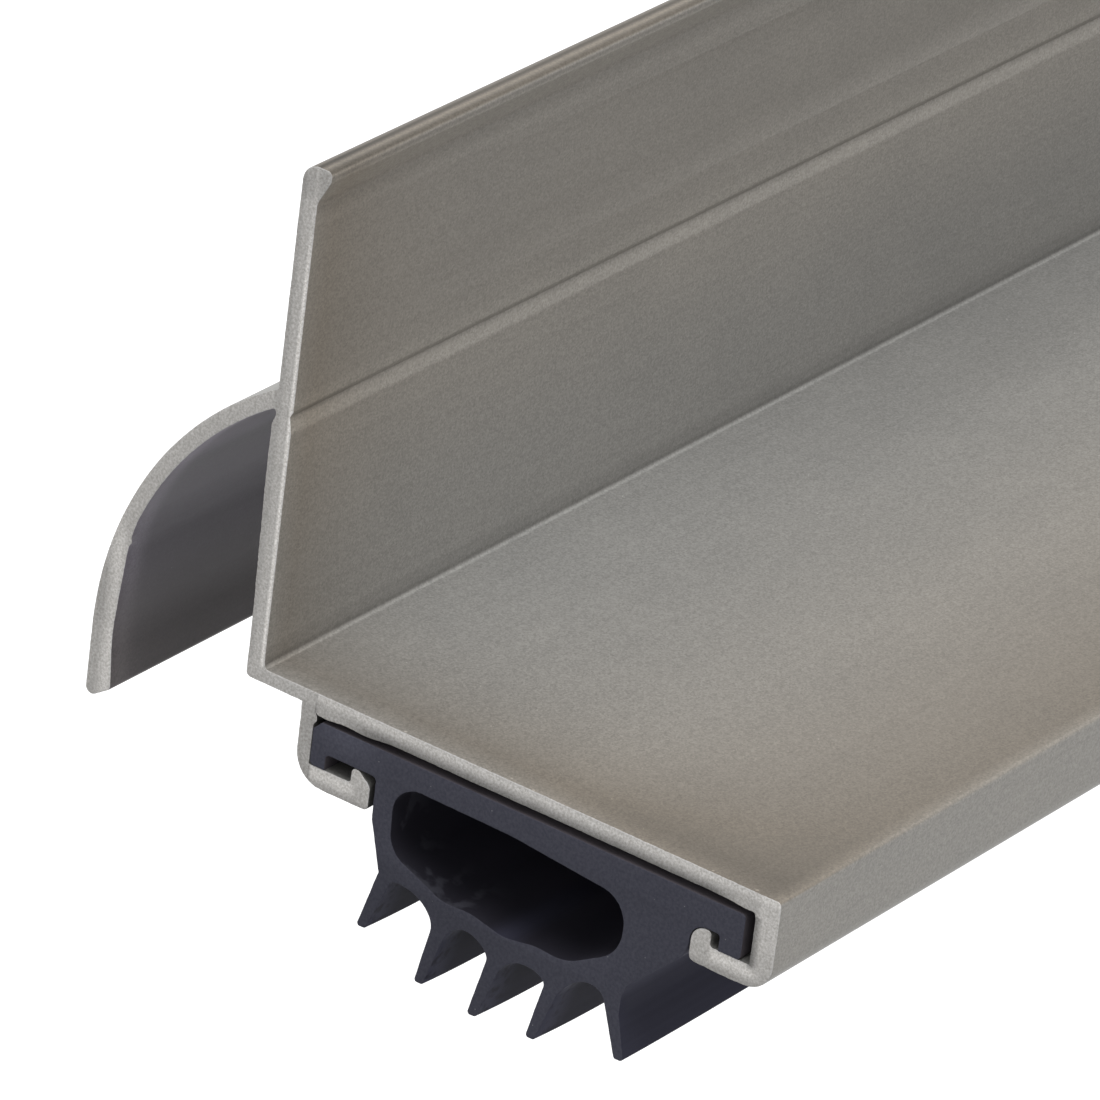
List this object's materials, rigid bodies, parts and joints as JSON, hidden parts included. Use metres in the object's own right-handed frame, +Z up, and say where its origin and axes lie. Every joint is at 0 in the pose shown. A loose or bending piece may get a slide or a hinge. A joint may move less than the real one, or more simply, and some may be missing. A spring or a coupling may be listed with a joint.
{
  "type": "door bottom seal",
  "caption": "L-shaped metal door bottom that wraps a door's lower outside corner, with a curved drip cap outside and a hollow finned vinyl seal in the channel below.",
  "frame": {"origin": "middle of the seat for the door's bottom edge: on the flange's top face, half way along the length and half way through the 44.45 mm door", "axes": "X along the length, with the pictured end at -X; +Y towards the outdoor side, where the drip cap is; +Z up, from the fins to the top of the leg"},
  "size_m": [0.9144, 0.0594, 0.0578],
  "materials": {
    "metal": "satin nickel coat on an aluminium extrusion, with bare saw cuts at the two ends",
    "vinyl": "blue-black flexible vinyl, dull where it is cut and a little smoother along its drawn faces"
  },
  "bodies": {
    "root": {"carrier": "metal", "insert": "vinyl"}
  },
  "joints": []
}
